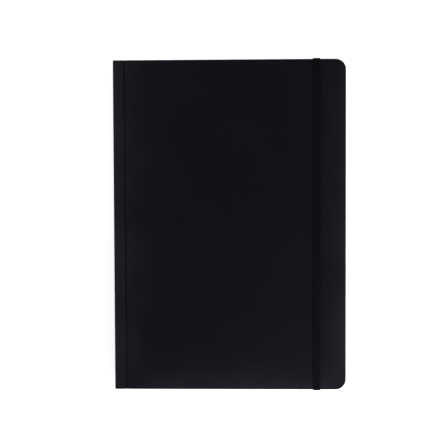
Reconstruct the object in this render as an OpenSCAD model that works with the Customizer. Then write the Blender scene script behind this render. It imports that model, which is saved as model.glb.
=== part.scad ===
// Case-bound sketchbook, lying closed on its back cover.
// Cloth-covered boards, ten sewn sections, endpapers, headbands and an elastic closure strap.
// X runs from the spine to the fore edge, Y from the tail to the head, Z from the back cover up.
// The origin is under the middle of the back cover. Lengths are in millimetres.

/* [Case] */
// Width of the case, spine to fore edge
case_w = 213; // [150:1:300]
// Height of the case, tail to head
case_h = 303; // [215:1:430]
// Thickness of the closed book, without its strap
case_t = 20; // [18:0.5:36]
// Thickness of the cover boards
board_t = 2.4; // [1.8:0.1:2.8]
// Thickness of the book cloth
cloth_t = 0.3; // [0.2:0.05:0.4]
// Radius of the case's fore corners
corner_r = 9.5; // [5:0.5:15]
// Distance from the spine to the middle of the joint groove
groove_at = 10.6; // [9:0.1:14]
// Clear width of the joint groove
groove_w = 2; // [1.5:0.1:3]
// Depth of the joint groove
groove_depth = 1.1; // [0.8:0.1:1.6]
// Thickness of the spine board
spine_board_t = 1; // [0.8:0.1:1.2]
// Width of cloth turned in over the board edges
turn_in = 15; // [8:1:20]

/* [Text block] */
// How far the boards stand past the leaves
overhang = 3; // [2:0.5:4]
// Folded sheets in each section
sheets = 4; // [2:1:5]
// Thickness of the endpapers
endpaper_t = 0.2; // [0.15:0.05:0.25]

/* [Strap] */
// Width of the elastic strap
strap_w = 6.5; // [4:0.5:12]
// Thickness of the elastic strap
strap_t = 0.7; // [0.5:0.1:1.1]
// Distance from the fore edge to the middle of the strap
strap_inset = 26.75; // [20:0.25:40]
// Distance from the head or tail edge to the strap's slot in the back board
slot_inset = 12.5; // [9:0.5:20]

/* [Hidden] */
SECTIONS = 10;
function section_name(i) = str("section_", i < 10 ? "0" : "", i);
$fn = 64;

CLOTH = [0.09, 0.09, 0.12];
BOARD = [0.55, 0.53, 0.49];
PAPER = [0.95, 0.94, 0.90];
ENDPAPER = [0.90, 0.89, 0.84];
STRAP = [0.05, 0.05, 0.06];
MULL = [0.88, 0.86, 0.78];
KRAFT = [0.66, 0.52, 0.36];
THREAD = [0.96, 0.95, 0.92];

// Levels above the bottom of the back cover. The front cover mirrors them about mid thickness.
board_top = cloth_t + board_t;
cover_in = board_top + cloth_t;
flyleaf_z = cover_in + endpaper_t;
block_z = flyleaf_z + endpaper_t;
block_t = case_t - 2 * block_z;

// Distances from the spine's outer face. The case folds on lines that stand pivot in from its corners.
pivot = 0.5;
fold_gap = 0.05;
spine_in = cloth_t + spine_board_t;
strip_x = spine_in + 0.2;
lining_t = 0.15;
lining_x = spine_in + 0.4;
mull_t = 0.2;
mull_x = lining_x + lining_t;
thread_d = 0.3;
thread_x = mull_x + mull_t + fold_gap / 2 + thread_d / 2;
fold_x = thread_x + thread_d / 2 + fold_gap;

// The leaves
page_h = case_h - 2 * overhang;
page_x = case_w - overhang;
section_t = block_t / SECTIONS;
leaf_pitch = section_t / (2 * sheets);
leaf_gap = 0.03;
leaf_t = leaf_pitch - leaf_gap;
section_r = (section_t - leaf_gap) / 2;
FOLD_STEPS = 6;
TINY_FOLD = 0.1;

// The groove, the headbands and the sewing
groove_0 = groove_at - groove_w / 2;
groove_1 = groove_at + groove_w / 2;
bead_d = 2;
tongue_h = 12;
mull_inset = 14;
lining_inset = 8;
STATIONS = 8;
station_inset = 18;

// The strap
strap_x = case_w - strap_inset;
strap_gap = 0.05;
strap_y = case_h / 2 + strap_gap + strap_t;
strap_top = case_t + strap_gap / 2 + strap_t;
corner_h = 3;
bend_in = 0.1;
slot_y = case_h / 2 - slot_inset;
slot_w = strap_w + 0.6;
tab_len = 22;
CUT = 1;

// All pieces are drawn with X counted from the spine's outer face, then centred.
module centred() {
    translate([-case_w / 2, 0, 0]) children();
}

module front() {
    translate([0, 0, case_t]) mirror([0, 0, 1]) children();
}

module at_tail() {
    mirror([0, 1, 0]) children();
}

// Sweeps an outline of X and Z along Y, centred
module along_y(length) {
    translate([0, length / 2, 0]) rotate([90, 0, 0]) linear_extrude(length) children();
}

// A box from its two corners
module block(low, high) {
    translate(low) cube(high - low);
}

// A cover's outline from x0 to its fore edge, inset all round, with rounded fore corners
module cover_outline(x0, inset = 0) {
    x1 = case_w - inset;
    y1 = case_h / 2 - inset;
    r = corner_r - inset;
    translate([x0, r - y1]) square([x1 - x0, 2 * (y1 - r)]);
    translate([x0, -y1]) square([x1 - r - x0, 2 * y1]);
    for (s = [-1, 1]) translate([x1 - r, s * (y1 - r)]) circle(r);
}

module strap_channel() {
    half = slot_w / 2;
    block([strap_x - half, slot_y - strap_t / 2, -CUT],
          [strap_x + half, case_h / 2 + CUT, strap_t + strap_gap]);
    block([strap_x - half, slot_y - strap_t / 2 - strap_gap, -CUT],
          [strap_x + half, slot_y + strap_t / 2 + strap_gap, cover_in + CUT]);
    block([strap_x - half, slot_y - tab_len, board_top - strap_t - strap_gap],
          [strap_x + half, slot_y, cover_in + CUT]);
}

// The board of a cover, from the groove to the fore edge
module cover_board() {
    translate([0, 0, cloth_t]) linear_extrude(board_t) cover_outline(groove_1 + cloth_t, cloth_t);
}

// The narrow board between the spine and the groove
module hinge_strip() {
    y = case_h / 2 - cloth_t;
    block([strip_x, -y, cloth_t], [groove_0 - cloth_t, y, board_top]);
}

// The cloth of a cover: it follows the groove, wraps the board edges and turns in over them
module cover_cloth() {
    y = case_h / 2;
    difference() {
        union() {
            linear_extrude(cover_in) cover_outline(strip_x);
            block([pivot + fold_gap, -y, 0], [strip_x + CUT, y, cloth_t]);
        }
        block([strip_x - CUT, cloth_t - y, cloth_t], [groove_0 - cloth_t, y - cloth_t, board_top]);
        cover_board();
        block([groove_0, -y - CUT, -CUT], [groove_1, y + CUT, groove_depth]);
        block([groove_0 - 2 * cloth_t, cloth_t - y, groove_depth + cloth_t],
              [groove_1 + 2 * cloth_t, y - cloth_t, board_top]);
        block([0, turn_in - y, board_top], [case_w - turn_in, y - turn_in, cover_in + CUT]);
    }
}

// A leaf-sized outline with the fore corners rounded on the same centres as the case
module leaf_outline(x0) {
    intersection() {
        cover_outline(x0, overhang);
        translate([x0, -page_h / 2]) square([page_x - x0, page_h]);
    }
}

// An endpaper's pasted leaf, which fills the window between the turn-ins
module pastedown() {
    y = case_h / 2 - turn_in - fold_gap;
    translate([0, 0, cover_in]) linear_extrude(endpaper_t) leaf_outline(fold_x + 1);
    block([fold_x + 1, -y, board_top], [case_w - turn_in - fold_gap, y, cover_in + endpaper_t / 2]);
}

// An endpaper's free leaf
module flyleaf() {
    gap = leaf_gap / 2;
    translate([0, 0, flyleaf_z + gap]) linear_extrude(endpaper_t - 2 * gap) leaf_outline(fold_x);
}

// One folded sheet: two leaves joined by a half-round fold of outer radius r
module folded_sheet(r) {
    fold_c = fold_x + section_r;
    r_in = r - leaf_t;
    steps_in = r_in > TINY_FOLD ? FOLD_STEPS : 1;
    outside = [for (i = [0:FOLD_STEPS]) 90 + 180 * i / FOLD_STEPS];
    inside = [for (i = [0:steps_in]) 270 - 180 * i / steps_in];
    intersection() {
        along_y(page_h) polygon(concat(
            [[page_x + CUT, r]],
            [for (a = outside) [fold_c + r * cos(a), r * sin(a)]],
            [[page_x + CUT, -r], [page_x + CUT, -r_in]],
            [for (a = inside) [fold_c + r_in * cos(a), r_in * sin(a)]],
            [[page_x + CUT, r_in]]));
        translate([0, 0, -section_t]) linear_extrude(2 * section_t) leaf_outline(0);
    }
}

// A section of nested folded sheets. Section 1 lies under the front cover.
module section(i) {
    z = case_t - block_z - (i - 0.5) * section_t;
    color(PAPER) centred() translate([0, 0, z])
        for (k = [0:sheets - 1]) folded_sheet(section_r - k * leaf_pitch);
}

module back_board() {
    color(BOARD) centred() difference() {
        cover_board();
        strap_channel();
        at_tail() strap_channel();
    }
}

module back_hinge_strip() {
    color(BOARD) centred() hinge_strip();
}

module back_cloth() {
    color(CLOTH) centred() difference() {
        cover_cloth();
        strap_channel();
        at_tail() strap_channel();
    }
}

module back_pastedown() {
    color(ENDPAPER) centred() pastedown();
}

module back_flyleaf() {
    color(ENDPAPER) centred() flyleaf();
}

module front_board() {
    color(BOARD) centred() front() cover_board();
}

module front_hinge_strip() {
    color(BOARD) centred() front() hinge_strip();
}

module front_cloth() {
    color(CLOTH) centred() front() cover_cloth();
}

module front_pastedown() {
    color(ENDPAPER) centred() front() pastedown();
}

module front_flyleaf() {
    color(ENDPAPER) centred() front() flyleaf();
}

module spine_board() {
    y = case_h / 2 - cloth_t;
    z = pivot + fold_gap;
    color(BOARD) centred() block([cloth_t, -y, z], [spine_in, y, case_t - z]);
}

// The cloth over the spine board, turned in at the head and the tail
module spine_cloth() {
    y = case_h / 2;
    lip_z = flyleaf_z + fold_gap;
    color(CLOTH) centred() difference() {
        union() {
            block([0, -y, pivot], [spine_in, y, case_t - pivot]);
            block([spine_in - fold_gap, -y, lip_z], [spine_in + cloth_t, y, case_t - lip_z]);
        }
        block([cloth_t, cloth_t - y, 0], [spine_in, y - cloth_t, case_t]);
        block([cloth_t, turn_in - y, 0], [spine_in + CUT, y - turn_in, case_t]);
    }
}

module spine_lining() {
    y = page_h / 2 - lining_inset;
    color(KRAFT) centred() block([lining_x, -y, block_z], [mull_x, y, case_t - block_z]);
}

// The open-weave cloth glued over the folds
module mull() {
    y = page_h / 2 - mull_inset;
    color(MULL) centred() block([mull_x, -y, block_z], [mull_x + mull_t, y, case_t - block_z]);
}

// The links of thread that tie one section to the next at each sewing station
module sewing_thread() {
    step = (page_h - 2 * station_inset) / (STATIONS - 1);
    color(THREAD) centred() for (i = [0:STATIONS - 1])
        translate([thread_x, station_inset - page_h / 2 + i * step, block_z])
            cylinder(d = thread_d, h = block_t);
}

// A woven bead over the ends of the folds, on a tongue glued to the spine
module headband() {
    bead_x = mull_x + fold_gap + bead_d / 2;
    bead_y = page_h / 2 + 2 * fold_gap + bead_d / 2;
    color(MULL) centred() {
        translate([bead_x, bead_y, block_z]) cylinder(d = bead_d, h = block_t);
        block([mull_x, bead_y - tongue_h, block_z], [mull_x + mull_t, bead_y, case_t - block_z]);
    }
}

module headband_head() {
    headband();
}

module headband_tail() {
    at_tail() headband();
}

// A strip of the strap's width from an outline of Y and Z
module strap_sweep() {
    color(STRAP) centred() translate([strap_x - strap_w / 2, 0, 0])
        rotate([90, 0, 90]) linear_extrude(strap_w) children();
}

// An outline of the strap's loop over the front cover, with rounded shoulders
module loop_outline(y, top, r) {
    translate([-y, top - corner_h - strap_t]) square([2 * y, corner_h + strap_t - r]);
    translate([r - y, top - r - CUT]) square([2 * (y - r), r + CUT]);
    for (s = [-1, 1]) translate([s * (y - r), top - r]) circle(r);
}

// The run over the front cover, with the bends over its head and tail edges
module strap_front() {
    strap_sweep() difference() {
        loop_outline(strap_y, strap_top, strap_t + bend_in);
        translate([0, -strap_t]) loop_outline(strap_y - strap_t, strap_top, bend_in);
    }
}

// The run down the edge of the leaves
module strap_wrap() {
    y = strap_y - strap_t;
    strap_sweep() translate([y, strap_t]) square([strap_t, strap_top - corner_h - 2 * strap_t]);
}

module strap_head_wrap() {
    strap_wrap();
}

module strap_tail_wrap() {
    at_tail() strap_wrap();
}

// The strap's end: a run in the channel, a pass through the slot and a tab glued under the pastedown
module strap_anchor() {
    strap_sweep() {
        translate([slot_y - strap_t / 2, 0]) square([strap_y - slot_y + strap_t / 2, strap_t]);
        translate([slot_y - strap_t / 2, 0]) square([strap_t, board_top]);
        translate([slot_y - tab_len + strap_gap, board_top - strap_t]) square([tab_len, strap_t]);
    }
}

module strap_head_anchor() {
    strap_anchor();
}

module strap_tail_anchor() {
    at_tail() strap_anchor();
}

back_board();
back_hinge_strip();
back_cloth();
back_pastedown();
back_flyleaf();
front_board();
front_hinge_strip();
front_cloth();
front_pastedown();
front_flyleaf();
spine_board();
spine_cloth();
spine_lining();
mull();
sewing_thread();
headband_head();
headband_tail();
strap_front();
strap_head_wrap();
strap_tail_wrap();
strap_head_anchor();
strap_tail_anchor();
for (i = [1:SECTIONS]) section(i);
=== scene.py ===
"""Looks of a case-bound sketchbook: book cloth over boards, ten sewn sections and an elastic strap.

Shapes are worked out in "cover space": u from the spine's outer face, y from tail to head and z from the
outer face of a cover inwards. The front cover is the back cover mirrored about mid thickness.
"""

import math
import random

import bmesh
import bpy
import numpy as np
from mathutils import Euler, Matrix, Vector


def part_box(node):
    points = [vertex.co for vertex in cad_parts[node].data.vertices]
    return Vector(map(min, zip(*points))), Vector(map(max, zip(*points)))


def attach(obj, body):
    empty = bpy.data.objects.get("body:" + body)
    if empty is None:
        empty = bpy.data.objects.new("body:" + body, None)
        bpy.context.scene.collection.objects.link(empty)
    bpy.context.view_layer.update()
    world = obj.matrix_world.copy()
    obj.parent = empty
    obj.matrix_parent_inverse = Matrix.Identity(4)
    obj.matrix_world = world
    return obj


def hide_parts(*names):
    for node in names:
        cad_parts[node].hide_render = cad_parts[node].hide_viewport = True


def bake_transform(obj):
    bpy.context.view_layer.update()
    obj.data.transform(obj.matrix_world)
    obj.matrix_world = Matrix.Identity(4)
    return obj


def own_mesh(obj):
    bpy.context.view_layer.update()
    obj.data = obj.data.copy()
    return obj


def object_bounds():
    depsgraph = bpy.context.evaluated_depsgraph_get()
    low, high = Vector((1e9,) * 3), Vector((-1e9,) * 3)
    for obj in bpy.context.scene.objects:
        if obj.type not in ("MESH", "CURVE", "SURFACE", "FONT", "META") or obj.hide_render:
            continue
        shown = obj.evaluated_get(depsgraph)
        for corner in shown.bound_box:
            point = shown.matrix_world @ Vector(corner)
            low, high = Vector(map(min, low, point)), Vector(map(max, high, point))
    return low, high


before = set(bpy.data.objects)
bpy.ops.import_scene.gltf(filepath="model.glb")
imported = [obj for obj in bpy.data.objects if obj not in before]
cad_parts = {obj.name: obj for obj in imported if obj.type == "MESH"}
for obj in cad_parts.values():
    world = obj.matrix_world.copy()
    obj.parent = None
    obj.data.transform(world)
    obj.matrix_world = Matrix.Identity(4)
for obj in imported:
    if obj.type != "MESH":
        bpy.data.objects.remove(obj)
cad_low, cad_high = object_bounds()
MM = 0.001

# Sizes read from the frame, with the few that it doesn't give
cloth_low, cloth_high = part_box("front_cloth")
strip_low, strip_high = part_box("back_hinge_strip")
board_low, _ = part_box("back_board")
spine_low, spine_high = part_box("spine_cloth")
section_low, section_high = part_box("section_10")
band_low, band_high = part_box("strap_front")
wrap_low, wrap_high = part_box("strap_head_wrap")
anchor_low, anchor_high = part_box("strap_head_anchor")
bead_low, bead_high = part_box("headband_head")

SPINE_X = spine_low.x
CASE_W = cloth_high.x - SPINE_X
HALF_Y = cloth_high.y
CASE_T = cloth_high.z
CLOTH_T = board_low.z
COVER_IN = CASE_T - cloth_low.z
SPINE_IN = spine_high.x - SPINE_X
GROOVE_0 = strip_high.x - SPINE_X + CLOTH_T
GROOVE_1 = board_low.x - SPINE_X - CLOTH_T
STRAP_W = band_high.x - band_low.x
STRAP_X = (band_low.x + band_high.x) / 2
STRAP_LIFT = 0.025 * MM
STRAP_T = band_high.z - CASE_T - STRAP_LIFT
TAB_LEN = 22 * MM
SLOT_Y = anchor_low.y + TAB_LEN
LEAF_U = section_high.x - SPINE_X
LEAF_Y = section_high.y
LEAF_GAP = 0.03 * MM
FOLD_U = section_low.x - SPINE_X
SHEETS = 4
SECTIONS = 10

# Sizes of the looks
CORNER_R = 9.5 * MM
EDGE_R = 0.9 * MM
TURN_R = 0.4 * MM
TURN_IN = 15 * MM
CLOTH_SKIN = 0.27 * MM
SEAM = 1.2 * MM
GROOVE_DEPTH = 1.1 * MM
SHOULDER_R = 0.55 * MM
SIDE_SLOPE = 50
ARC_STEPS = 6
FLAT_FROM = 30 * MM
CHANNEL_SIDE = 0.25 * MM
CHANNEL_WALL = 0.12 * MM
STRAP_RIBS = 9
LEAF_R = CORNER_R - (CASE_W - LEAF_U)
LEAF_ROWS = 7
GUTTER_FROM = FOLD_U + (section_high.z - section_low.z) / 2
GUTTER_TO = 18 * MM


# Materials ------------------------------------------------------------------------------------


class Nodes:
    """A material's node tree, with short calls to add nodes and links."""

    def __init__(self, name, coordinates="sheet"):
        self.material = bpy.data.materials.new(name)
        self.material.use_nodes = True
        self.tree = self.material.node_tree
        self.shader = self.tree.nodes["Principled BSDF"]
        if coordinates == "sheet":
            source = self.tree.nodes.new("ShaderNodeAttribute")
            source.attribute_name = "sheet"
            self.place = source.outputs["Vector"]
        else:
            self.place = self.tree.nodes.new("ShaderNodeTexCoord").outputs["Object"]

    def link(self, source, target):
        if hasattr(source, "is_output"):
            self.tree.links.new(source, target)
        else:
            target.default_value = source

    def math(self, operation, a, b=0.0, c=0.0):
        node = self.tree.nodes.new("ShaderNodeMath")
        node.operation = operation
        for value, socket in zip((a, b, c), node.inputs):
            self.link(value, socket)
        return node.outputs[0]

    def axes(self):
        node = self.tree.nodes.new("ShaderNodeSeparateXYZ")
        self.link(self.place, node.inputs[0])
        return node.outputs

    def stretched(self, scale):
        node = self.tree.nodes.new("ShaderNodeVectorMath")
        node.operation = "MULTIPLY"
        self.link(self.place, node.inputs[0])
        node.inputs[1].default_value = scale
        return node.outputs[0]

    def noise(self, scale, detail=2.0, roughness=0.5, vector=None):
        node = self.tree.nodes.new("ShaderNodeTexNoise")
        self.link(vector or self.place, node.inputs["Vector"])
        node.inputs["Scale"].default_value = scale
        node.inputs["Detail"].default_value = detail
        node.inputs["Roughness"].default_value = roughness
        return node.outputs["Fac"]

    def wave(self, axis, pitch):
        """A sine from -1 to 1 along one axis."""
        return self.math("SINE", self.math("MULTIPLY", axis, 2 * math.pi / pitch))

    def ramp(self, factor, *stops):
        node = self.tree.nodes.new("ShaderNodeValToRGB")
        self.link(factor, node.inputs[0])
        elements = node.color_ramp.elements
        while len(elements) < len(stops):
            elements.new(0.5)
        for element, (position, color) in zip(elements, stops):
            element.position = position
            element.color = (*color, 1)
        return node.outputs[0]

    def attribute(self, name):
        node = self.tree.nodes.new("ShaderNodeAttribute")
        node.attribute_name = name
        return node.outputs["Fac"]

    def bump(self, height, distance, strength=1.0, below=None):
        node = self.tree.nodes.new("ShaderNodeBump")
        node.inputs["Strength"].default_value = strength
        node.inputs["Distance"].default_value = distance
        self.link(height, node.inputs["Height"])
        if below is not None:
            self.link(below, node.inputs["Normal"])
        return node.outputs[0]

    def finish(self, color=None, roughness=None, normal=None, **constants):
        for value, name in ((color, "Base Color"), (roughness, "Roughness"), (normal, "Normal")):
            if value is not None:
                self.link(value, self.shader.inputs[name])
        for name, value in constants.items():
            self.shader.inputs[name.replace("_", " ")].default_value = value
        return self.material


def plain_weave(nodes, pitch):
    """Threads over and under each other, as a height from 0 to 1."""
    x, y, _ = nodes.axes()
    crossing = nodes.math("MULTIPLY", nodes.wave(x, pitch), nodes.wave(y, pitch))
    return nodes.math("MULTIPLY_ADD", crossing, 0.5, 0.5)


def book_cloth():
    """Near-black book cloth: a fine filled weave, a little uneven.

    It's paler at its edges, where they rub and where a painted highlight lines them, and painted light makes
    it softly paler towards the spine, the fore edge and the tail.
    """
    nodes = Nodes("book_cloth")
    weave = plain_weave(nodes, 0.62 * MM)
    slub = nodes.noise(900, 3, 0.6, nodes.stretched((1, 0.12, 1)))
    patches = nodes.noise(18, 3, 0.55)
    # Painted shade: the weave's hollows are darker than the threads' crests
    shade = nodes.math("MULTIPLY_ADD", weave, 0.40, nodes.math("MULTIPLY_ADD", patches, 0.9, -0.13))
    # Edge wear and a painted highlight: paler along the rounded edges and the spine's corner
    wear_and_highlight = nodes.math("MULTIPLY", nodes.attribute("edge"), nodes.noise(260, 4, 0.65))
    # Painted light: paler towards the spine and, more softly, towards the fore edge and the tail, where more
    # light falls
    x, y, _ = nodes.axes()
    spine_side = nodes.math("MAXIMUM", nodes.math("MULTIPLY_ADD", x, -1.8 / CASE_W, 1.0), 0.0)
    fore_side = nodes.math("MAXIMUM", nodes.math("MULTIPLY_ADD", x, 2 / CASE_W, -1.0), 0.0)
    tail_side = nodes.math("MAXIMUM", nodes.math("MULTIPLY", y, -1 / HALF_Y), 0.0)
    outside = nodes.math("POWER", nodes.math("MAXIMUM", fore_side, tail_side), 4.0)
    inside = nodes.math("MULTIPLY", nodes.math("POWER", spine_side, 2.3), 0.54)
    painted_light_falloff = nodes.math("MAXIMUM", inside, nodes.math("MULTIPLY", outside, 0.45))
    weave_wear_and_highlight = nodes.math("MULTIPLY_ADD", wear_and_highlight, 0.9, nodes.math("MULTIPLY", shade, 0.6))
    tone = nodes.math("ADD", weave_wear_and_highlight, painted_light_falloff)
    color = nodes.ramp(tone, (0.0, (0.0026, 0.0030, 0.0048)), (0.55, (0.0044, 0.0050, 0.0076)),
                       (1.0, (0.016, 0.017, 0.021)))
    rough = nodes.math("MULTIPLY_ADD", patches, 0.10, nodes.math("MULTIPLY_ADD", weave, 0.05, 0.62))
    normal = nodes.bump(slub, 0.02 * MM, 0.35, nodes.bump(weave, 0.03 * MM, 0.5))
    return nodes.finish(color, rough, normal, Specular_IOR_Level=0.10, Specular_Tint=(0.80, 0.86, 1.0, 1.0))


def elastic():
    """Woven elastic: cord ribs run along it and weft threads cross them."""
    nodes = Nodes("elastic")
    x, y, _ = nodes.axes()
    rib = nodes.math("MULTIPLY_ADD", nodes.wave(x, STRAP_W / STRAP_RIBS), 0.5, 0.5)
    weft = nodes.math("MULTIPLY_ADD", nodes.wave(y, 0.55 * MM), 0.5, 0.5)
    height = nodes.math("MULTIPLY_ADD", weft, 0.4, rib)
    # Painted shade: the valleys between the ribs and weft threads are darker than their tops
    tone = nodes.math("MULTIPLY_ADD", nodes.noise(700, 3), 0.4, nodes.math("MULTIPLY", height, 0.4))
    color = nodes.ramp(tone, (0.1, (0.0012, 0.0013, 0.0017)), (0.9, (0.0060, 0.0065, 0.0081)))
    return nodes.finish(color, 0.85, nodes.bump(height, 0.06 * MM, 0.7), Specular_IOR_Level=0.07,
                        Specular_Tint=(0.85, 0.90, 1.0, 1.0))


def paper(name, light, dark):
    """Uncoated drawing paper with a faint tooth and a few darker fibres."""
    nodes = Nodes(name)
    tooth = nodes.noise(2600, 4, 0.6)
    cloud = nodes.noise(30, 3, 0.5)
    fibre = nodes.noise(500, 2, 0.5, nodes.stretched((1, 0.2, 1)))
    tone = nodes.math("MULTIPLY_ADD", cloud, 0.5, nodes.math("MULTIPLY", fibre, 0.5))
    color = nodes.ramp(tone, (0.2, dark), (0.75, light))
    rough = nodes.math("MULTIPLY_ADD", tooth, 0.12, 0.82)
    return nodes.finish(color, rough, nodes.bump(tooth, 0.03 * MM, 0.4), Specular_IOR_Level=0.25)


def greyboard():
    """Recycled board with flecks and pressed fibres."""
    nodes = Nodes("greyboard", "object")
    fleck = nodes.noise(1500, 5, 0.7)
    cloud = nodes.noise(60, 3)
    tone = nodes.math("MULTIPLY_ADD", fleck, 0.7, nodes.math("MULTIPLY", cloud, 0.3))
    color = nodes.ramp(tone, (0.3, (0.16, 0.145, 0.125)), (0.5, (0.30, 0.28, 0.245)),
                       (0.75, (0.42, 0.40, 0.36)))
    return nodes.finish(color, 0.92, nodes.bump(fleck, 0.05 * MM, 0.6), Specular_IOR_Level=0.2)


def kraft():
    """Brown kraft paper with long fibres."""
    nodes = Nodes("kraft", "object")
    fibre = nodes.noise(800, 4, 0.6, nodes.stretched((1, 0.15, 1)))
    color = nodes.ramp(fibre, (0.3, (0.27, 0.16, 0.08)), (0.7, (0.42, 0.27, 0.15)))
    return nodes.finish(color, 0.85, nodes.bump(fibre, 0.03 * MM, 0.5), Specular_IOR_Level=0.25)


def gauze():
    """Starched open-weave cloth: pale threads with glue-darkened holes between them."""
    nodes = Nodes("gauze", "object")
    _, y, z = nodes.axes()
    across = nodes.wave(y, 0.9 * MM)
    along = nodes.wave(z, 0.9 * MM)
    threads = nodes.math("MULTIPLY_ADD", nodes.math("MAXIMUM", across, along), 0.5, 0.5)
    color = nodes.ramp(threads, (0.45, (0.24, 0.20, 0.13)), (0.75, (0.66, 0.63, 0.54)))
    return nodes.finish(color, 0.8, nodes.bump(threads, 0.1 * MM, 0.8), Specular_IOR_Level=0.3)


def linen_thread():
    """Waxed linen thread with its twist."""
    nodes = Nodes("linen_thread", "object")
    x, y, z = nodes.axes()
    twist = nodes.wave(nodes.math("ADD", nodes.math("ADD", x, y), nodes.math("MULTIPLY", z, 0.6)), 0.25 * MM)
    height = nodes.math("MULTIPLY_ADD", twist, 0.5, 0.5)
    # Painted shade: the twist's grooves are darker than its crests
    color = nodes.ramp(height, (0.0, (0.52, 0.48, 0.39)), (1.0, (0.80, 0.77, 0.68)))
    return nodes.finish(color, 0.55, nodes.bump(height, 0.05 * MM, 0.8), Specular_IOR_Level=0.4)


def headband_silk():
    """Two colours of silk wound over the headband's core, one rib at a time."""
    nodes = Nodes("headband_silk")
    turn = nodes.attribute("edge")
    strand = nodes.noise(1800, 2, 0.5, nodes.stretched((1, 0.1, 1)))
    tone = nodes.math("MULTIPLY_ADD", strand, 0.15, nodes.math("MULTIPLY", turn, 0.85))
    color = nodes.ramp(tone, (0.40, (0.012, 0.012, 0.016)), (0.52, (0.62, 0.59, 0.50)))
    return nodes.finish(color, 0.45, nodes.bump(strand, 0.04 * MM, 0.5), Specular_IOR_Level=0.45,
                        Sheen_Weight=0.2, Sheen_Roughness=0.3)


# Mesh helpers ---------------------------------------------------------------------------------


def make_mesh(name, points, faces, sheet, edge=None):
    """A mesh object with each point's place on the flat sheet and its edge tone as attributes; on the cloth
    the edge tone is edge wear and a painted highlight.
    """
    mesh = bpy.data.meshes.new(name)
    mesh.from_pydata([tuple(p) for p in points], [], faces)
    place = mesh.attributes.new("sheet", "FLOAT_VECTOR", "POINT")
    place.data.foreach_set("vector", np.array(sheet, np.float32).ravel())
    edge_tone = mesh.attributes.new("edge", "FLOAT", "POINT")
    edge_tone.data.foreach_set("value", np.array(edge if edge is not None else [0.0] * len(points), np.float32))
    obj = bpy.data.objects.new(name, mesh)
    bpy.context.scene.collection.objects.link(obj)
    return obj


def tidy(obj, sharp=40, outward=True):
    """Merges points that coincide, sets the faces' sides and shades smooth between sharp edges."""
    bm = bmesh.new()
    bm.from_mesh(obj.data)
    bmesh.ops.remove_doubles(bm, verts=bm.verts, dist=0.001 * MM)
    if outward:
        bmesh.ops.recalc_face_normals(bm, faces=bm.faces)
    bm.to_mesh(obj.data)
    bm.free()
    obj.data.polygons.foreach_set("use_smooth", [True] * len(obj.data.polygons))
    obj.data.set_sharp_from_angle(angle=math.radians(sharp))
    return obj


def thicken(obj, thickness, offset):
    """Gives a sheet its thickness, applied. Offset -1 grows behind its faces, 0 both ways."""
    modifier = obj.modifiers.new("Thickness", "SOLIDIFY")
    modifier.thickness = thickness
    modifier.offset = offset
    modifier.use_even_offset = False
    graph = bpy.context.evaluated_depsgraph_get()
    solid = bpy.data.meshes.new_from_object(obj.evaluated_get(graph))
    obj.modifiers.clear()
    obj.data = solid
    return obj


def grid(first, columns, rows):
    """Quads of a grid whose points are numbered column by column from first."""
    return [(first + i * rows + j, first + (i + 1) * rows + j, first + (i + 1) * rows + j + 1,
             first + i * rows + j + 1) for i in range(columns - 1) for j in range(rows - 1)]


def arc(steps, degrees=90):
    """Angles in radians from just above 0 up to the given one."""
    return [math.radians(degrees) * (k + 1) / steps for k in range(steps)]


def dress(obj, material):
    """Gives a piece its material."""
    obj.data.materials.clear()
    obj.data.materials.append(material)
    return obj


# Case cloth -----------------------------------------------------------------------------------


class Column:
    """One line of points across the cloth from the tail to the head.

    u, z is its place on the outer face, inward the way into the cover, turn the angle of the outline there,
    and full says whether the cloth goes down the whole edge and turns in.
    """

    def __init__(self, u, z=0.0, inward=(0.0, 1.0), turn=0.0, full=True):
        self.u, self.z, self.inward, self.turn, self.full = u, z, inward, turn, full
        self.normal = (math.sin(turn), -math.cos(turn))
        centre_u, centre_y = CASE_W - CORNER_R, HALF_Y - CORNER_R
        if turn:
            self.base = (centre_u + CORNER_R * self.normal[0], -centre_y + CORNER_R * self.normal[1])
        else:
            self.base = (u, -HALF_Y)


def groove_section():
    """The joint groove's section as (u, z) points: round shoulders, sloping sides and a round bottom."""
    r = SHOULDER_R
    slope = math.radians(SIDE_SLOPE)
    points = [(GROOVE_0 - r + r * math.sin(a), r - r * math.cos(a)) for a in (0, *arc(4, SIDE_SLOPE))]
    middle = (GROOVE_0 + GROOVE_1) / 2
    reach = middle - points[-1][0]
    drop = GROOVE_DEPTH - points[-1][1]
    bottom_r = (reach * math.tan(slope) - drop) / (1 / math.cos(slope) - 1)
    for a in reversed((0, *arc(4, SIDE_SLOPE))):
        points.append((middle - bottom_r * math.sin(a), GROOVE_DEPTH - bottom_r * (1 - math.cos(a))))
    return points + [(2 * middle - u, z) for u, z in reversed(points[:-1])]


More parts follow.
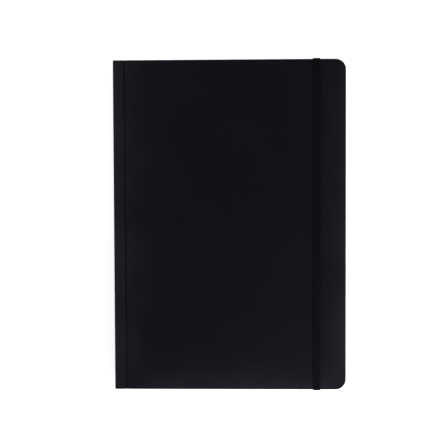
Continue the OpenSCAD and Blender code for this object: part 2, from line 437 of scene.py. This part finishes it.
def cover_columns(channel):
    """The columns of a cover's cloth, from the seam on the spine's face to the fore edge."""
    columns = [Column(0, SEAM, (1, 0), full=False)]
    for a in [0, *arc(ARC_STEPS)]:
        columns.append(Column(EDGE_R * (1 - math.cos(a)), EDGE_R * (1 - math.sin(a)),
                              (math.cos(a), math.sin(a)), full=False))
    columns.append(Column(SPINE_IN - 0.05 * MM, full=False))
    flat = [SPINE_IN + 0.02 * MM, 2.2 * MM, 3.5 * MM, 6 * MM]
    columns += [Column(u) for u in flat]
    columns += [Column(u, z) for u, z in groove_section()]
    last = CASE_W - CORNER_R
    stations = [GROOVE_1 + SHOULDER_R + d * MM for d in (1, 2.5, 5, 10)]
    stations += list(np.linspace(FLAT_FROM, last, 20))
    if channel:
        half = STRAP_W / 2 + CHANNEL_SIDE
        centre = STRAP_X - SPINE_X
        cuts = [centre + d for d in (-half - CHANNEL_WALL, -half, 0, half, half + CHANNEL_WALL)]
        stations = sorted([u for u in stations if abs(u - centre) > half + 1 * MM] + cuts)
    columns += [Column(u) for u in stations]
    for a in arc(8):
        columns.append(Column(last + (CORNER_R - EDGE_R) * math.sin(a), turn=a))
    return columns


def round_rings():
    """Rings round an edge: (in from the outline, down from the outer face, length round the edge, wear and
    painted highlight).
    """
    rings = []
    for a in arc(ARC_STEPS):
        # Edge wear and painted highlight peak halfway round the edge
        edge_tone = 1 - abs(a / (math.pi / 2) - 0.5)
        rings.append((EDGE_R * (1 - math.sin(a)), EDGE_R * (1 - math.cos(a)), EDGE_R * a, edge_tone))
    return rings


def rim_rings(column):
    """The rings of a cover's rim: round the edge, down it and, on full columns, turned in inside."""
    rings = round_rings()
    if not column.full:
        return rings
    top = COVER_IN - column.z
    wall = EDGE_R * math.pi / 2
    rings.append((0, max(EDGE_R, top - TURN_R) * 0.5 + EDGE_R * 0.5, wall + 0.5 * MM, 0.25))
    for a in [0, *arc(3)]:
        down = top - TURN_R * (1 - math.sin(a))
        rings.append((TURN_R * (1 - math.cos(a)), down, wall + 1.5 * MM + TURN_R * a, 0.5))
    rings.append((3.2 * MM, top, wall + 5 * MM, 0))
    rings.append((TURN_IN, top, wall + 17 * MM, 0))
    return rings


def case_cloth(name, columns, rows, spread, recess=None, fore=True, inner=None):
    """A sheet of cloth over the columns, rounded over the head, tail and fore edges and turned in.

    rows are shares of a column's half length from -1 to 1, and spread places a cover space point.
    """
    lengths = [0.0]
    for a, b in zip(columns, columns[1:]):
        lengths.append(lengths[-1] + math.hypot(b.u - a.u, b.z - a.z))
    points, sheet, edge = [], [], []

    def add(u, y, z, s, t, edge_tone):
        if recess:
            z = recess(u, y, z)
        points.append(spread(u, y, z))
        sheet.append((s, t, 0))
        edge.append(edge_tone)
        return len(points) - 1

    for column, s in zip(columns, lengths):
        half = -(column.base[1] - column.normal[1] * EDGE_R)
        for share in rows:
            # The spine's rounded corner also gets edge wear and painted highlight
            corner = 1 if column.inward[0] > 0.05 else 0
            add(column.u, half * share, column.z, s, half * share, 0.6 * corner)
    count = len(rows)
    faces = grid(0, len(columns), count)

    stations = [(i * count, column, -1) for i, column in enumerate(columns)]
    if fore:
        last = len(columns) - 1
        stations += [(last * count + j, columns[-1], 0) for j in range(1, count - 1)]
    else:
        stations.append(None)
    stations += [(i * count + count - 1, columns[i], 1) for i in reversed(range(len(columns)))]

    previous = None
    for station in stations:
        if station is None:
            previous = None
            continue
        start, column, side = station
        s, t, _ = sheet[start]
        if side:
            normal = (column.normal[0], -side * column.normal[1])
            base = (column.base[0], -side * column.base[1])
        else:
            normal = (1.0, 0.0)
            base = (column.base[0], t)
        ring = [start]
        for d, h, length, edge_tone in (inner or rim_rings)(column):
            u = base[0] - normal[0] * d + column.inward[0] * h
            y = base[1] - normal[1] * d
            if d >= TURN_IN and fore:
                u = min(u if side else base[0] - d, CASE_W - TURN_IN)
                y = math.copysign(min(abs(y), HALF_Y - TURN_IN), y)
            place = (s + normal[0] * length, t + normal[1] * length)
            ring.append(add(u, y, column.z + column.inward[1] * h, *place, edge_tone))
        if previous:
            for k in range(min(len(previous), len(ring)) - 1):
                faces.append((previous[k], ring[k], ring[k + 1], previous[k + 1]))
        previous = ring
    obj = make_mesh(name, points, faces, sheet, edge)
    tidy(obj)
    centre = columns[len(columns) // 2]
    orient(obj, Vector(spread(centre.u, 0, centre.z)))
    thicken(obj, CLOTH_SKIN, -1)
    return tidy(obj, 50, outward=False)


def orient(obj, outer):
    """Turns all faces the same way, so that the face at the point outer looks away from the book."""
    nearest = min(obj.data.polygons, key=lambda p: (p.center - outer).length)
    middle = Vector((0, 0, CASE_T / 2))
    if nearest.normal.dot(outer - middle) < 0:
        obj.data.flip_normals()


def back_place(u, y, z):
    return (SPINE_X + u, y, z)


def front_place(u, y, z):
    return (SPINE_X + u, y, CASE_T - z)


def strap_recess(u, y, z):
    """The strap's channels in the back cover: the cloth lies as deep as the strap is thick."""
    x = SPINE_X + u
    in_channel = abs(x - STRAP_X) < STRAP_W / 2 + 0.3 * MM and abs(y) > SLOT_Y - 0.5 * MM
    return max(z, STRAP_T + 0.03 * MM) if in_channel else z


def cover_rows():
    """Shares of the half length, closer together at the strap's slots."""
    half = HALF_Y - EDGE_R
    slots = [(SLOT_Y - 0.45 * MM) / half, (SLOT_Y - 0.6 * MM) / half]
    side = sorted({*np.linspace(0, 1, 17)[:-2], *slots, 0.96, 1.0})
    return [-v for v in reversed(side)][:-1] + side


def cover_cloth(name, front, cloth):
    """The cloth of one cover, with its piece of the spine's corner."""
    spread = front_place if front else back_place
    obj = case_cloth(name, cover_columns(not front), cover_rows(), spread, None if front else strap_recess)
    node = "front_cloth" if front else "back_cloth"
    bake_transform(obj)
    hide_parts(node)
    return dress(obj, cloth)


def spine_rings(column):
    """Rim rings of the spine's cloth: round the edge, over the board's end and turned in inside."""
    rings = round_rings()
    wall = EDGE_R * math.pi / 2
    fold = 0.3 * MM
    rings.append((0, SPINE_IN - fold, wall + 0.4 * MM, 0.25))
    for a in arc(3):
        down = SPINE_IN - fold + fold * math.sin(a)
        rings.append((fold * (1 - math.cos(a)), down, wall + 0.6 * MM, 0.5))
    if column.full:
        rings.append((TURN_IN, SPINE_IN, wall + 15 * MM, 0))
    return rings


def spine_cloth(cloth):
    """The cloth over the spine board, between the two covers' seams."""
    inside = COVER_IN + 0.3 * MM
    levels = [SEAM, COVER_IN, *np.linspace(inside, CASE_T - inside, 9), CASE_T - COVER_IN, CASE_T - SEAM]
    columns = [Column(0, z, (1, 0), full=inside <= z <= CASE_T - inside) for z in levels]
    obj = case_cloth("spine_cloth_wrap", columns, cover_rows(), back_place, fore=False, inner=spine_rings)
    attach(obj, "spine")
    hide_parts("spine_cloth")
    return dress(obj, cloth)


# Leaves ---------------------------------------------------------------------------------------

def leaf_stations(start, trim):
    """(u, half height) along a leaf from its fold to its fore edge, with a round fore corner."""
    last = LEAF_U + trim
    flat = [start, *np.linspace(GUTTER_FROM, GUTTER_TO, 17)[1:]]
    flat += list(np.linspace(FLAT_FROM, last - LEAF_R, 5))
    stations = [(u, LEAF_Y + trim) for u in flat]
    for a in arc(5):
        stations.append((last - LEAF_R + LEAF_R * math.sin(a), LEAF_Y + trim - LEAF_R * (1 - math.cos(a))))
    return stations


def leaf_sheet(lines, line):
    """Adds one sheet, given as (u, z, half height) points across it, to the lists in lines.

    The sheet attribute's third value grows with z, so that each leaf shows another part of the pattern.
    """
    points, faces, sheet = lines
    first = len(points)
    length = 0.0
    for k, (u, z, half) in enumerate(line):
        if k:
            length += math.hypot(u - line[k - 1][0], z - line[k - 1][1])
        for share in np.linspace(-1, 1, LEAF_ROWS):
            points.append((SPINE_X + u, half * share, z))
            sheet.append((length, half * share, z * 7))
    faces += grid(first, len(line), LEAF_ROWS)


def section(index, middle, thickness, material, draw):
    """One sewn section: four folded sheets inside each other, joined at the fold as in the frame."""
    pitch = thickness / (2 * SHEETS)
    outer = (thickness - LEAF_GAP) / 2
    fold = FOLD_U + outer
    lines = [], [], []
    shift = draw.uniform(-0.10, 0.03) * MM
    for k in range(SHEETS):
        r = outer - k * pitch - (pitch - LEAF_GAP) / 2
        upper = leaf_stations(fold, shift + draw.uniform(-0.05, 0.02) * MM)
        lower = leaf_stations(fold, shift + draw.uniform(-0.05, 0.02) * MM)
        line = [(u, middle + r, half) for u, half in reversed(upper)]
        for a in arc(7, 180)[:-1]:
            line.append((fold - r * math.sin(a), middle + r * math.cos(a), upper[0][1]))
        line += [(u, middle - r, half) for u, half in lower]
        leaf_sheet(lines, line)
    name = f"section_{index:02d}"
    obj = make_mesh(name + "_leaves", *lines)
    thicken(obj, pitch - LEAF_GAP, 0)
    tidy(obj)
    bend_sheet(obj)
    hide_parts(name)
    return dress(obj, material)


def bend_sheet(obj):
    """Bakes the sheet's place into its points."""
    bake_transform(obj)


def flyleaf(name, material, draw):
    """An endpaper's free leaf, laid out as the sections' leaves are."""
    low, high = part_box(name)
    middle = (low.z + high.z) / 2
    lines = [], [], []
    trim = draw.uniform(-0.05, 0) * MM
    leaf_sheet(lines, [(u, middle, half) for u, half in leaf_stations(low.x - SPINE_X, trim)])
    obj = make_mesh(name + "_sheet", *lines)
    thicken(obj, high.z - low.z, 0)
    tidy(obj)
    bend_sheet(obj)
    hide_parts(name)
    return dress(obj, material)


def pastedown(side, material):
    """An endpaper's glued leaf, with the fold that joins it to the free leaf across the joint."""
    low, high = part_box(side + "_pastedown")
    free_low, free_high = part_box(side + "_flyleaf")
    up = 1 if side == "back" else -1
    glued = COVER_IN + 0.1 * MM
    glued_z = glued if side == "back" else CASE_T - glued
    free_z = (free_low.z + free_high.z) / 2
    r = abs(free_z - glued_z) / 2
    fold = free_low.x - SPINE_X + r
    line = [(fold - r * math.sin(a), glued_z + up * (r + r * math.cos(a)), LEAF_Y) for a in arc(5, 180)]
    line += [(fold + d * MM, glued_z, LEAF_Y) for d in (0.3, 0.6, 0.9, 1.3, 1.8, 2.4, 3.2)]
    line += [(u, glued_z, half) for u, half in leaf_stations(fold, 0) if u > fold + 4 * MM]
    lines = [], [], []
    leaf_sheet(lines, line)
    obj = make_mesh(side + "_pastedown_sheet", *lines)
    thicken(obj, free_high.z - free_low.z, 0)
    tidy(obj)
    bend_sheet(obj)
    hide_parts(side + "_pastedown")
    return dress(obj, material)


# Strap ----------------------------------------------------------------------------------------


def strap_section():
    """The elastic's section as (across, out) points: round edges and shallow ribs on both faces."""
    half_w, half_t = STRAP_W / 2, STRAP_T / 2
    r = 0.3 * MM
    flat = half_w - r
    top = []
    for across in np.linspace(-flat, flat, 4 * STRAP_RIBS + 1):
        dip = 0.5 - 0.5 * math.cos(2 * math.pi * STRAP_RIBS * (across + flat) / (2 * flat) + math.pi)
        top.append((across, half_t - 0.05 * MM * (1 - dip)))
    side = [(flat + r * math.sin(a), half_t * math.cos(a)) for a in arc(6, 180)[:-1]]
    bottom = [(a, -o) for a, o in reversed(top)]
    return top + side + bottom + [(-a, o) for a, o in reversed(side)]


def strap_length(name, path, body, node, material):
    """A length of elastic along (y, z) points of its middle line, capped at both ends."""
    outline = strap_section()
    count = len(outline)
    points, sheet, edge = [], [], []
    length = 0.0
    for k, (y, z) in enumerate(path):
        before, after = path[max(k - 1, 0)], path[min(k + 1, len(path) - 1)]
        way = np.array((after[0] - before[0], after[1] - before[1]))
        way /= np.linalg.norm(way)
        out = (-way[1], way[0])
        if k:
            length += math.hypot(y - path[k - 1][0], z - path[k - 1][1])
        for across, rise in outline:
            points.append((STRAP_X + across, y + out[0] * rise, z + out[1] * rise))
            sheet.append((across, length, 0))
            edge.append(0)
    faces = []
    for k in range(len(path) - 1):
        for j in range(count):
            a, b = k * count + j, k * count + (j + 1) % count
            faces.append((a, b, b + count, a + count))
    faces.append(tuple(reversed(range(count))))
    faces.append(tuple(range(len(points) - count, len(points))))
    obj = tidy(make_mesh(name, points, faces, sheet, edge), 50)
    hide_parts(node)
    dress(obj, material)
    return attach(obj, body)


def line_points(a, b, step):
    """Points from a up to but without b, a step apart."""
    count = max(1, round(math.dist(a, b) / step))
    return [(a[0] + (b[0] - a[0]) * k / count, a[1] + (b[1] - a[1]) * k / count) for k in range(count)]


def bend_points(centre, r, start, sweep, steps=6):
    """Points on an arc in the (y, z) plane, angles in degrees from +Y towards +Z."""
    angles = [math.radians(start + sweep * k / steps) for k in range(steps + 1)]
    return [(centre[0] + r * math.cos(a), centre[1] + r * math.sin(a)) for a in angles]


def strap(material):
    """The strap's run over the front cover, and at each end a shoulder, a wrap and an anchor.

    Real elastic draws back to a straight run when let go; here the shoulders and wraps get meshes of their
    own.
    """
    out = STRAP_T / 2
    side = band_high.y - out
    top = band_high.z - out
    bend = 0.55 * MM
    head = bend_points((side - bend, top - bend), bend, 0, 90)
    leg = (side, band_low.z)
    over = line_points(leg, head[0], 1 * MM) + head
    run_end = (-head[-1][0], top)
    run = line_points(head[-1], run_end, 4 * MM) + [run_end]
    strap_length("strap_band", run, "strap", "strap_front", material)
    r = STRAP_T / 2 + 0.1 * MM
    edge_y = wrap_high.y - out
    tab_z = anchor_high.z - out
    for end, sign in (("head", 1), ("tail", -1)):
        wrap_end = (edge_y, wrap_high.z)
        wrap = line_points((edge_y, wrap_low.z), wrap_end, 1 * MM) + [wrap_end]
        anchor = [(edge_y, wrap_low.z)] + bend_points((edge_y - r, out + r), r, 0, -90)
        anchor += line_points((edge_y - r, out), (SLOT_Y + r, out), 1 * MM)[1:]
        anchor += bend_points((SLOT_Y + r, out + r), r, 270, -90)
        anchor += bend_points((SLOT_Y - r, tab_z - r), r, 0, 90)
        tab_end = (anchor_low.y, tab_z)
        anchor += line_points((SLOT_Y - r, tab_z), tab_end, 2 * MM)[1:] + [tab_end]
        parts = (("shoulder", over, "strap", "strap_front", top),
                 ("wrap", wrap, "back_cover", f"strap_{end}_wrap", wrap_low.z),
                 ("anchor", anchor, "back_cover", f"strap_{end}_anchor", None))
        for part, route, body, node, flat_z in parts:
            route = [(sign * y, z) for y, z in route]
            piece = strap_length(f"strap_{end}_{part}_elastic", route, body, node, material)
            if flat_z is not None:
                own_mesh(piece)


# Headbands ------------------------------------------------------------------------------------


def headband(end, sign, material):
    """A wound silk bead across the ends of the folds, with the tape that it is sewn to."""
    r = 1 * MM
    centre_x, centre_y = bead_high.x - r, bead_high.y - r
    low, high = bead_low.z, bead_high.z
    around, pitch = 20, 0.9 * MM
    steps = 110
    points, sheet, edge = [], [], []
    for k in range(steps + 1):
        z = low + (high - low) * k / steps
        close = min(1.0, math.sqrt(min(k, steps - k) / 4 + 0.08))
        for j in range(around):
            a = 2 * math.pi * j / around
            wind = math.cos(2 * math.pi * z / pitch + a)
            radius = r * close * (0.93 + 0.07 * wind)
            points.append((centre_x + radius * math.cos(a), sign * (centre_y + radius * math.sin(a)), z))
            sheet.append((r * a, z, 0))
            edge.append(0.5 + 0.5 * math.cos(math.pi * z / pitch + a / 2))
    faces = []
    for k in range(steps):
        for j in range(around):
            a, b = k * around + j, k * around + (j + 1) % around
            faces.append((a, b, b + around, a + around))
    faces.append(tuple(reversed(range(around))))
    faces.append(tuple(range(steps * around, (steps + 1) * around)))
    obj = tidy(make_mesh(f"headband_{end}_bead", points, faces, sheet, edge), 70)
    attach(obj, "spine")
    dress(obj, material)
    columns, rows = 7, 13
    tape_x = bead_low.x + 0.1 * MM
    points, sheet = [], []
    for i in range(columns):
        for j in range(rows):
            y = bead_high.y - r - (bead_high.y - bead_low.y - r) * j / (rows - 1)
            z = low + 0.2 * MM + (high - low - 0.4 * MM) * i / (columns - 1)
            ripple = 0.02 * MM * math.sin(j * 1.7 + i * 2.3)
            points.append((tape_x + ripple, sign * y, z))
            sheet.append((y, z, 0))
    tape = make_mesh(f"headband_{end}_tape", points, grid(0, columns, rows), sheet, [1] * len(points))
    thicken(tape, 0.14 * MM, 0)
    tidy(tape)
    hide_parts(f"headband_{end}")
    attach(tape, "spine")
    return dress(tape, material)


# Stage ----------------------------------------------------------------------------------------


def floor():
    """A wide pale floor that is bright enough to show no edge of shadow, as on a light table."""
    half = 4.0
    mesh = bpy.data.meshes.new("floor")
    corners = [(-half, -half, 0), (half, -half, 0), (half, half, 0), (-half, half, 0)]
    mesh.from_pydata(corners, [], [(0, 1, 2, 3)])
    obj = bpy.data.objects.new("floor", mesh)
    obj.location = (0, 0, cad_low.z - 0.05 * MM)
    bpy.context.scene.collection.objects.link(obj)
    material = bpy.data.materials.new("floor")
    material.use_nodes = True
    shader = material.node_tree.nodes["Principled BSDF"]
    shader.inputs["Base Color"].default_value = (0.86, 0.86, 0.87, 1)
    shader.inputs["Roughness"].default_value = 0.9
    shader.inputs["Emission Color"].default_value = (1, 1, 1, 1)
    shader.inputs["Emission Strength"].default_value = 0.6
    mesh.materials.append(material)


def softbox(name, place, aim, size, power):
    """A rectangular soft light at place that looks at aim."""
    data = bpy.data.lights.new(name, "AREA")
    data.shape = "RECTANGLE"
    data.size, data.size_y = size
    data.energy = power
    obj = bpy.data.objects.new(name, data)
    obj.location = place
    obj.rotation_euler = (Vector(aim) - Vector(place)).to_track_quat("-Z", "Y").to_euler()
    obj.visible_camera = False
    bpy.context.scene.collection.objects.link(obj)


def lights():
    centre = (0, 0, CASE_T)
    softbox("left_low", (-0.50, 0.05, 0.14), centre, (0.60, 0.10), 0.5)
    softbox("fore_low", (0.30, -0.05, 0.13), centre, (0.45, 0.10), 0.3)
    softbox("corner_box", (0.25, -0.33, 0.17), centre, (0.20, 0.20), 0.8)
    softbox("tail_low", (0.02, -0.33, 0.13), centre, (0.50, 0.10), 0.2)
    softbox("head_box", (0.00, 0.75, 0.60), centre, (1.0, 0.5), 2.8)
    softbox("left_box", (-0.80, 0.30, 0.80), centre, (0.7, 0.9), 2.2)
    softbox("right_box", (0.80, -0.40, 0.70), centre, (0.7, 0.9), 0.6)


def sky():
    """A pale surround at the horizon that darkens overhead, as in a studio with a dark ceiling."""
    world = bpy.data.worlds.new("studio")
    bpy.context.scene.world = world
    world.use_nodes = True
    nodes, links = world.node_tree.nodes, world.node_tree.links
    coordinates = nodes.new("ShaderNodeTexCoord")
    split = nodes.new("ShaderNodeSeparateXYZ")
    ramp = nodes.new("ShaderNodeValToRGB")
    links.new(coordinates.outputs["Generated"], split.inputs[0])
    links.new(split.outputs["Z"], ramp.inputs[0])
    ramp.color_ramp.elements[0].position = 0.0
    ramp.color_ramp.elements[0].color = (0.93, 0.94, 0.96, 1)
    ramp.color_ramp.elements[1].position = 0.45
    ramp.color_ramp.elements[1].color = (0.10, 0.10, 0.11, 1)
    links.new(ramp.outputs[0], nodes["Background"].inputs["Color"])
    nodes["Background"].inputs["Strength"].default_value = 1.2


def camera():
    """The view from above, a little towards the head and the fore edge."""
    tilt, lean, roll = math.radians(-2.401), math.radians(1.928), math.radians(-0.213)
    distance, lens = 1.0, 87.6
    aim = Vector((-5.07 * MM, 1.29 * MM, CASE_T))
    data = bpy.data.cameras.new("camera")
    data.sensor_width = 36
    data.lens = lens
    obj = bpy.data.objects.new("camera", data)
    obj.rotation_euler = Euler((tilt, lean, roll), "XYZ")
    obj.location = aim + obj.rotation_euler.to_matrix() @ Vector((0, 0, distance))
    data.clip_start = 0.05
    bpy.context.scene.collection.objects.link(obj)
    bpy.context.scene.camera = obj


# Assembly -------------------------------------------------------------------------------------


def carried_nodes():
    """CAD nodes that keep their own shape get their materials here."""
    board = greyboard()
    finishes = {
        "back_board": (board, "board"),
        "front_board": (board, "board"),
        "back_hinge_strip": (board, "board"),
        "front_hinge_strip": (board, "board"),
        "spine_board": (board, "board"),
        "spine_lining": (kraft(), "lining"),
        "mull": (gauze(), "mull"),
        "sewing_thread": (linen_thread(), "thread"),
    }
    for node, (material, slot) in finishes.items():
        dress(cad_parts[node], material)


def book():
    draw = random.Random(12)
    cloth = book_cloth()
    cover_cloth("front_cover_cloth", True, cloth)
    cover_cloth("back_cover_cloth", False, cloth)
    spine_cloth(cloth)
    leaf = paper("drawing_paper", (0.84, 0.83, 0.785), (0.80, 0.787, 0.737))
    for index in range(1, SECTIONS + 1):
        low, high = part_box(f"section_{index:02d}")
        thickness = high.z - low.z + LEAF_GAP
        section(index, (low.z + high.z) / 2, thickness, leaf, draw)
    endpaper = paper("endpaper_free", (0.80, 0.785, 0.73), (0.755, 0.74, 0.68))
    flyleaf("front_flyleaf", endpaper, draw)
    flyleaf("back_flyleaf", endpaper, draw)
    pastedown("front", endpaper)
    pastedown("back", endpaper)
    strap(elastic())
    silk = headband_silk()
    headband("head", 1, silk)
    headband("tail", -1, silk)
    carried_nodes()


book()
floor()
lights()
sky()
camera()
bpy.context.scene.view_settings.view_transform = "Standard"
